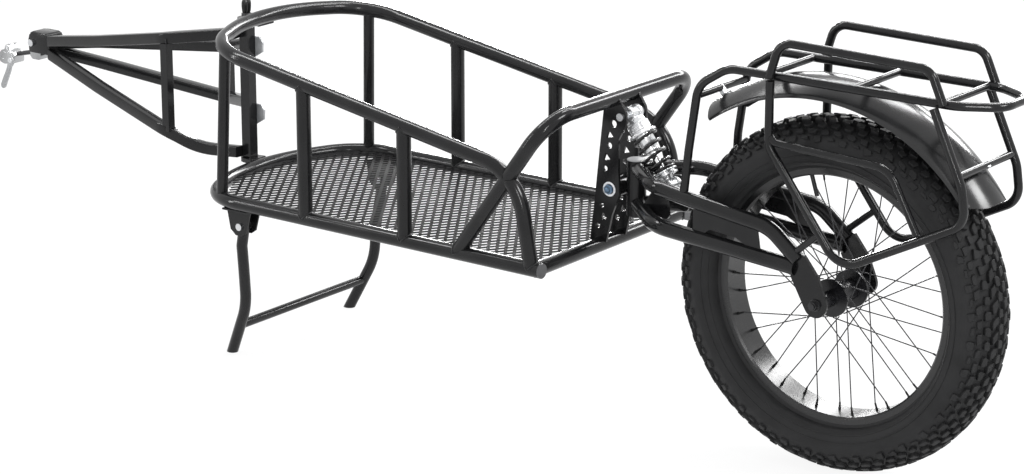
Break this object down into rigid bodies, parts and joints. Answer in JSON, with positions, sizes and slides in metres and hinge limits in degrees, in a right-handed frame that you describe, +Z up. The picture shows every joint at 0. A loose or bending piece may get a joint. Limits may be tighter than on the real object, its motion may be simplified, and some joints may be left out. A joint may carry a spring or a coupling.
{
  "type": "bike cargo trailer",
  "caption": "Bicycle cargo trailer with a tube basket, mesh floor, sprung swingarm, fat-tyred wheel, rear rack, wishbone drawbar and folding stand.",
  "frame": {"origin": "middle of the trailer's outer box, on the ground", "axes": "+X to the rear, away from the hitch; +Y across the trailer to its right side; +Z up"},
  "size_m": [2.1869, 0.447, 0.7096],
  "materials": {
    "frame_paint": "satin black paint",
    "cap_plastic": "matt black plastic",
    "foot_rubber": "matt black rubber",
    "knob_black": "black",
    "bolt_steel": "zinc plated",
    "pivot_nut": "blue grey",
    "zinc_plate": "bare zinc",
    "shock_silver": "satin silver",
    "spring_black": "gloss black",
    "fender_grey": "gloss grey",
    "hub_black": "black anodised",
    "spoke_steel": "stainless",
    "rim_silver": "polished",
    "tyre_rubber": "matt black",
    "hitch_silver": "satin"
  },
  "bodies": {
    "basket": {"bottom_rail": "frame_paint", "top_rail": "frame_paint", "side_posts": "frame_paint", "corner_posts": "frame_paint", "rear_hoop": "frame_paint", "rear_cross_tube": "frame_paint", "rail_end_caps": "cap_plastic", "floor_mesh": "frame_paint", "pivot_plates": "frame_paint", "hinge_tabs": "frame_paint", "stand_brackets": "frame_paint", "pivot_bolt": "bolt_steel", "pivot_nuts": "pivot_nut", "shock_upper_bolt": "bolt_steel", "stand_bolts": "bolt_steel"},
    "stand": {"kickstand": "frame_paint", "stand_feet": "foot_rubber"},
    "shock_upper": {"shock_body": "shock_silver", "shock_bush_upper": "bolt_steel", "shock_collar": "bolt_steel", "coil_spring": "spring_black"},
    "shock_lower": {"shock_shaft": "bolt_steel", "shock_bush_lower": "bolt_steel"},
    "swingarm": {"swing_hub": "frame_paint", "swing_bushes": "cap_plastic", "upper_stays": "frame_paint", "lower_stays": "frame_paint", "swing_gussets": "frame_paint", "dropouts": "frame_paint", "shock_lugs": "frame_paint", "shock_lower_bolt": "bolt_steel", "rack_platform": "frame_paint", "rack_cross_bars": "frame_paint", "rack_handrails": "frame_paint", "pannier_hoops": "frame_paint", "pannier_bars": "frame_paint", "fender_stay": "frame_paint", "fender_bolts": "bolt_steel", "fender": "fender_grey", "axle": "bolt_steel", "axle_nuts": "bolt_steel"},
    "wheel": {"hub": "hub_black", "spoke_set": "spoke_steel", "nipples": "spoke_steel", "rim": "rim_silver", "valve": "bolt_steel", "tyre": "tyre_rubber"},
    "drawbar": {"post": "frame_paint", "post_bushes": "cap_plastic", "fork_upper_tubes": "frame_paint", "fork_lower_tubes": "frame_paint", "fork_struts": "frame_paint", "stop_plates": "zinc_plate", "nose_bracket": "frame_paint", "coupler_bolt": "bolt_steel"},
    "pin": {"hitch_pin": "knob_black"},
    "coupler": {"swivel_block": "hitch_silver", "hitch_jaw": "hitch_silver"},
    "lever": {"cam_lever": "zinc_plate"}
  },
  "joints": [
    {"name": "drawbar_yaw", "type": "hinge", "parent": "basket", "child": "drawbar", "pos_m": [-0.4575, 0, 0.43], "axis": [0, 0, 1], "range_deg": [-60, 60]},
    {"name": "hitch_pin_lift", "type": "slide", "parent": "basket", "child": "pin", "axis": [0, 0, 1], "range_m": [0, 0.29]},
    {"name": "coupler_pitch", "type": "hinge", "parent": "drawbar", "child": "coupler", "pos_m": [-0.9925, 0, 0.452], "axis": [0, 1, 0], "range_deg": [-25, 25]},
    {"name": "lever_open", "type": "hinge", "parent": "coupler", "child": "lever", "pos_m": [-1.0535, 0, 0.409], "axis": [0, 1, 0], "range_deg": [0, 110]},
    {"name": "stand_fold", "type": "hinge", "parent": "basket", "child": "stand", "pos_m": [-0.3005, 0, 0.253], "axis": [0, 1, 0], "range_deg": [-95, 0]},
    {"name": "swing_pivot", "type": "hinge", "parent": "basket", "child": "swingarm", "pos_m": [0.3655, 0, 0.396], "axis": [0, 1, 0], "range_deg": [-10, 0], "stiffness_Nm_per_rad": 500, "springref_deg": 7.45},
    {"name": "shock_swing", "type": "hinge", "parent": "basket", "child": "shock_upper", "pos_m": [0.3875, 0, 0.522], "axis": [0, 1, 0], "range_deg": [-3.5, 0.5]},
    {"name": "shock_slide", "type": "slide", "parent": "shock_upper", "child": "shock_lower", "axis": [-0.5833, 0, 0.8122], "range_m": [0, 0.0175], "deforming": ["coil_spring"]},
    {"name": "wheel_spin", "type": "hinge", "parent": "swingarm", "child": "wheel", "pos_m": [0.7945, 0, 0.291], "axis": [0, 1, 0], "continuous": true}
  ],
  "couplings": [
    {"joint": "shock_swing", "follows": "swing_pivot", "ratio": 0.3171},
    {"joint": "shock_slide", "follows": "swing_pivot", "m_per_rad": -0.09292}
  ]
}
